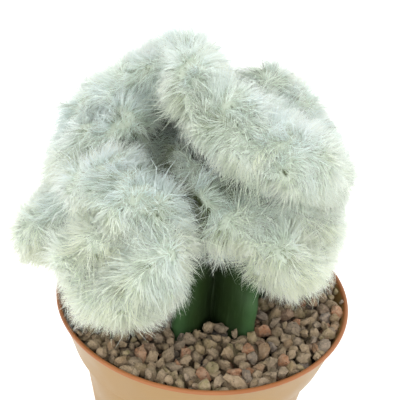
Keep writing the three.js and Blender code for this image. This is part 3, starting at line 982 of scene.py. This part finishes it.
# Which way it leans: a slow sway and a quick flick over the crest, down a little, and away
# from a near growing point. Its normal also turns away from the ridge line under it.
outward = unit(tuft_places - ridge[tuft_ridge, :3])
sway = np.stack([lumps(tuft_places, SWAY_SIZE, seed) for seed in (31, 32, 33)], axis=-1)
flick = np.stack([lumps(tuft_places, FLICK_SIZE, seed) for seed in (34, 35, 36)], axis=-1)
tuft_lean = SWAY_LEAN * sway + FLICK_LEAN * flick + wool.normal(size=sway.shape) * OWN_LEAN
tuft_lean[:, 2] -= HANG
tuft_facing = unit(tuft_normals + FACING_OUTWARD * outward)
tuft_normals = unit((1 - GROWING_OUTWARD) * tuft_normals + GROWING_OUTWARD * outward)
near_part, away = near_spots(tuft_places, partings)
tuft_lean += PARTING_LEAN * near_part[:, None] * away
tuft_lean = flattened(tuft_lean, tuft_normals)
lean_size = np.linalg.norm(tuft_lean, axis=-1, keepdims=True)
tuft_lean = unit(tuft_lean) * lean_size.clip(*LEAN_RANGE)

# Its tint, from bluish on the upper side (0), a painted sheen of cool light from above, to cream
# low down (1), in patches.
region, patch = lumps(tuft_places, TINT_REGION, 50), lumps(tuft_places, TINT_PATCH, 51)
tuft_tint = TINT_MIDDLE - TINT_SKY_SHEEN_UP * tuft_facing[:, 2] + TINT_IN_REGIONS * region
tuft_tint += TINT_LOW_DOWN * ((CREAM_HEIGHT - tuft_places[:, 2]) / CREAM_FADE).clip(-1, 1)
tuft_tint += TINT_IN_PATCHES * patch + TINT_OWN * wool.normal(size=tufts)
# The blue sheen spots paint a sheen of cool light on the wool.
creamed, blue_sheened = near_spots(tuft_places, CREAMED)[0], near_spots(tuft_places, BLUE_SHEEN_SPOTS)[0]
tuft_tint += TINT_AT_SPOTS * (creamed - blue_sheened)

# How long it is, shorter where it is shut in, and how dull: in patches, near partings, and at the
# greyed spots, some of which are painted shade.
tuft_length = 1 + LENGTH_IN_PATCHES * lumps(tuft_places, LENGTH_PATCH, 40)
tuft_length -= SHUT_SHORTER * (tuft_shut + tuft_hollow)
patch, region = lumps(tuft_places, DULL_PATCH, 52), lumps(tuft_places, DULL_REGION, 53)
tuft_dull = (DULL_IN_PATCHES * patch + DULL_IN_REGIONS * region).clip(0)
tuft_dull = tuft_dull + DULL_GREYED_AND_SHADED * near_spots(tuft_places, GREYED_AND_SHADED)[0] + DULL_PARTED * near_part


def grow(per_tuft, length, width, lean, spread, droop, least, more):
    """A coat of hairs, each a dict of arrays: a root near its tuft's middle, a bend and a
    tip. A hair leaves along its tuft's normal, leaning with the tuft, and its outer part
    leans further and down. A hair whose tip would stand out too far is shortened."""
    of = np.repeat(np.arange(tufts), per_tuft)
    axis = tuft_normals[of]
    shift = flattened(wool.normal(size=(len(of), 3)) * TUFT_SPREAD, axis)
    roots = tuft_places[of] + shift - axis * ROOT_DEPTH
    tilt = lean * wool.uniform(*HAIR_LEANS, (len(of), 1))
    start = unit(axis + tilt * tuft_lean[of] + wool.normal(size=axis.shape) * spread)
    end = start + droop * (tuft_lean[of] + wool.normal(size=axis.shape) * TIP_SPREAD)
    end = unit(end - (0, 0, TIP_FALL * droop))
    reach = length * wool.uniform(*HAIR_LENGTHS, len(of)) * tuft_length[of]
    bends = roots + start * reach[:, None] * 0.5
    tips = bends + end * reach[:, None] * 0.5
    _, stand = nearest_ridge(tips)
    limit = least + np.minimum(wool.exponential(more, len(of)), 3 * more) + tuft_rise[of]
    kept = np.clip(1 - (stand - limit).clip(0) / reach, HAIR_LEAST_LEFT, 1)[:, None]
    tint = (tuft_tint[of] + HAIR_TINT * wool.normal(size=len(of))).clip(0.02, 0.98)
    return {
        "roots": roots, "bends": roots + (bends - roots) * kept,
        "tips": roots + (tips - roots) * kept, "tint": tint, "shut": tuft_shut[of],
        "dull": (tuft_dull[of] * wool.uniform(0, 2, len(of))).clip(0, 0.9),
        "fold": tuft_fold[of], "width": width * wool.uniform(*HAIR_WIDTHS, len(of)),
        "facing": unit(tuft_facing[of] + wool.normal(size=axis.shape) * HAIR_FACING),
    }


def hair_points(hairs, bent):
    """Points (n, 4 or 7, 3) of the hairs: a triangle round the root, square to the hair and
    turned at random about it, a smaller one round the bend if it has one, and the tip.
    With them their normals: the way the tuft faces, turned a little round each hair."""
    way = unit(hairs["tips"] - hairs["roots"])
    side = unit(np.cross(way, wool.normal(size=way.shape)))
    rise = np.cross(way, side)
    angle = np.arange(3) * 2 * np.pi / 3
    around = side[:, None] * np.cos(angle)[:, None] + rise[:, None] * np.sin(angle)[:, None]
    ring = around * hairs["width"][:, None, None]
    rings = [hairs["roots"][:, None] + ring]
    if bent:
        rings.append(hairs["bends"][:, None] + ring * BEND_WIDTH)
    turn = np.concatenate([around] * len(rings) + [around[:, :1] * 0], axis=1)
    normals = unit(hairs["facing"][:, None] + HAIR_ROUNDING * turn)
    return np.concatenate([*rings, hairs["tips"][:, None]], axis=1), normals


# A hair's faces over its own points, closed at the root, and how far along it each point is.
STRAIGHT_FACES = np.array([(0, 2, 1), (0, 1, 3), (1, 2, 3), (2, 0, 3)])
STRAIGHT_REACH = np.array([0, 0, 0, 1.0])
BENT_FACES = np.array([
    (0, 2, 1), (0, 1, 4), (0, 4, 3), (1, 2, 5), (1, 5, 4), (2, 0, 3), (2, 3, 5),
    (3, 4, 6), (4, 5, 6), (5, 3, 6),
])
BENT_REACH = np.array([0, 0, 0, 0.5, 0.5, 0.5, 1.0])


def wool_finish():
    """Silky wool: pale at the tips, darker at the roots as painted shade deep in the coat, from
    bluish to cream by the tint, the blue partly a painted sheen.
    """
    nodes = Nodes(
        "old_man_wool", 0.6, Subsurface_Weight=0.6, Subsurface_Scale=2 * MM,
        Subsurface_Radius=(1, 1, 1), Sheen_Weight=0.75, Sheen_Roughness=0.4,
        Sheen_Tint=(0.95, 1, 0.92, 1),
    )
    chart = nodes.add("ShaderNodeUVMap", uv_map="OFBake").outputs["UV"]
    split = nodes.add("ShaderNodeSeparateXYZ", {"Vector": chart}).outputs
    tone = nodes.ramp(split["X"], [
        (0.0, colour(217, 243, 243)), (0.3, colour(230, 251, 237)),
        (0.6, colour(238, 252, 224)), (1.0, colour(238, 247, 196)),
    ])
    # Painted shade: dark olive deep in the coat and at shut-in roots, white at open tips.
    reach = nodes.ramp(split["Y"], [
        (0.0, colour(66, 74, 34)), (0.15, colour(130, 138, 102)), (0.3, colour(207, 215, 200)),
        (0.78, colour(255, 255, 255)),
    ])
    return nodes.finish(nodes.blend(1.0, tone, reach, "MULTIPLY"))


wool_material = wool_finish()
# The wool's chart runs from dark at its foot to white at its head, the dark a painted shade deep in
# the coat. An open hair's root stands CHART_ROOT up it, and its tip CHART_TIP further. A hair that
# is shut in is painted in deeper shade: it loses a share of the first, CHART_ROOT_SHADED, and a
# length of the second, CHART_TIP_SHADED.
CHART_FOOT = 0.01
CHART_ROOT = 0.3
CHART_ROOT_SHADED = 0.75
CHART_TIP = 0.68
CHART_TIP_SHADED = 0.5
# The wool is made in pieces, each with the hairs of a few neighbouring folds.
WOOL_PIECES = {
    "wool_left": ["left_back", "knob", "shoulder", "cleft"],
    "wool_whorl": ["whorl", "lap"],
    "wool_crown": ["crown", "right_back", "inner"],
    "wool_skirt": ["skirt", "shelf", "neck", "heart"],
    "wool_rear_left": ["rear_left", "rear_hem"],
    "wool_rear_right": ["rear_middle", "rear_right"],
}
fold_names = list(FOLDS)
coats = {name: grow(*values) for name, values in COATS.items()}
for name, members in WOOL_PIECES.items():
    points, faces, charts, facings, start = [], [], [], [], 0
    for coat, hairs in coats.items():
        mine = np.isin(hairs["fold"], [fold_names.index(member) for member in members])
        chosen = {key: values[mine] for key, values in hairs.items()}
        bent = coat == "guard"
        pattern, reach = (BENT_FACES, BENT_REACH) if bent else (STRAIGHT_FACES, STRAIGHT_REACH)
        made, facing = hair_points(chosen, bent)
        shut = chosen["shut"][:, None]
        # Each point's place on the wool's chart: across for the tint, and up for the painted shade,
        # from dark at a sheltered root to white at an open tip.
        chart = np.empty((*made.shape[:2], 2), np.float32)
        chart[..., 0] = chosen["tint"][:, None]
        root_shade = CHART_ROOT * (1 - CHART_ROOT_SHADED * shut)
        chart[..., 1] = root_shade + reach * (CHART_TIP - CHART_TIP_SHADED * shut) + CHART_FOOT
        chart[..., 1] *= 1 - chosen["dull"][:, None]
        order = pattern[None] + np.arange(len(made))[:, None, None] * len(reach)
        charts.append(chart.reshape(-1, 2)[order.ravel()])
        points.append(made.reshape(-1, 3))
        facings.append(facing.reshape(-1, 3))
        faces.append(order.reshape(-1, 3) + start)
        start += made.shape[0] * made.shape[1]
    mesh = mesh_from(name, np.vstack(points), np.vstack(faces))
    mesh.uv_layers.new(name="OFBake").uv.foreach_set("vector", np.vstack(charts).ravel())
    facing = mesh.attributes.new("custom_normal", "FLOAT_VECTOR", "POINT")
    facing.data.foreach_set("vector", np.vstack(facings).astype(np.float32).ravel())
    add_piece(mesh, wool_material, "wool", "woolly_crest")


# ============================================================
# Stage. A plain pale floor, an even white surround, and four soft square lamps: one in
# front, one at either side and one overhead.
# ============================================================
FLOOR_REACH = 6.0
SURROUND_STRENGTH = 1.3
FLOOR_COLOUR = colour(246, 246, 246)
FLOOR_TINT = colour(249, 249, 249)
PLANT_MIDDLE = (0, 0, 130 * MM)


def stage_finish():
    """Pale matt floor."""
    nodes = Nodes("pale_floor", 0.9)
    faint = nodes.mottle(3, 2)["Amount"]
    return nodes.finish(nodes.blend(faint, FLOOR_COLOUR, FLOOR_TINT))


floor_points = np.array([(-1, -1, 0), (1, -1, 0), (1, 1, 0), (-1, 1, 0)]) * FLOOR_REACH
floor_points[:, 2] = pot_low.z
floor = bpy.data.objects.new("floor", mesh_from("floor", floor_points, [(0, 1, 2, 3)]))
floor.data.materials.append(stage_finish())
bpy.context.collection.objects.link(floor)

world = bpy.data.worlds.new("surround")
world.use_nodes = True
surround = world.node_tree.nodes["Background"].inputs
surround["Color"].default_value = (1, 1, 1, 1)
surround["Strength"].default_value = SURROUND_STRENGTH
bpy.context.scene.world = world
bpy.context.scene.view_settings.view_transform = "Standard"


def add_lamp(name, place, size, power):
    """A square soft lamp that faces the plant's middle; its size in metres, power in watts."""
    data = bpy.data.lights.new(name, "AREA")
    data.size = size
    data.energy = power
    lamp = bpy.data.objects.new(name, data)
    lamp.location = place
    aim = Vector(PLANT_MIDDLE) - lamp.location
    lamp.rotation_euler = aim.to_track_quat("-Z", "Y").to_euler()
    bpy.context.collection.objects.link(lamp)


add_lamp("soft_key", (-0.02, -0.75, 0.4), 0.7, 3.6)
add_lamp("soft_left", (-0.85, 0.1, 0.4), 0.6, 3.0)
add_lamp("soft_right", (0.85, 0.2, 0.4), 0.6, 2.4)
add_lamp("soft_top", (0.2, 0.3, 0.9), 0.8, 2.6)

# Camera: it looks down from the front, turned a little about its own line of sight.
CAMERA_ELEVATION = math.radians(29.8)
CAMERA_ROLL = math.radians(4.8)
CAMERA_DISTANCE = 271 * MM
CAMERA_RISE = 35.1 * MM
CAMERA_SIDE = -1.4 * MM
CAMERA_LENS = 58.5
CAMERA_SENSOR = 36

forward = Vector((0, math.cos(CAMERA_ELEVATION), -math.sin(CAMERA_ELEVATION)))
level_up = Vector((0, math.sin(CAMERA_ELEVATION), math.cos(CAMERA_ELEVATION)))
level_right = Vector((1, 0, 0))
right = level_right * math.cos(CAMERA_ROLL) + level_up * math.sin(CAMERA_ROLL)
up = level_up * math.cos(CAMERA_ROLL) - level_right * math.sin(CAMERA_ROLL)
rim_middle = Vector((0, 0, RIM_HEIGHT))
eye = rim_middle - forward * CAMERA_DISTANCE + up * CAMERA_RISE + right * CAMERA_SIDE
facing = Matrix((right, up, -forward)).transposed().to_4x4()
camera_data = bpy.data.cameras.new("camera")
camera_data.lens = CAMERA_LENS
camera_data.sensor_width = CAMERA_SENSOR
camera_data.clip_start = 10 * MM
camera = bpy.data.objects.new("camera", camera_data)
camera.matrix_world = Matrix.Translation(eye) @ facing
bpy.context.collection.objects.link(camera)
bpy.context.scene.camera = camera
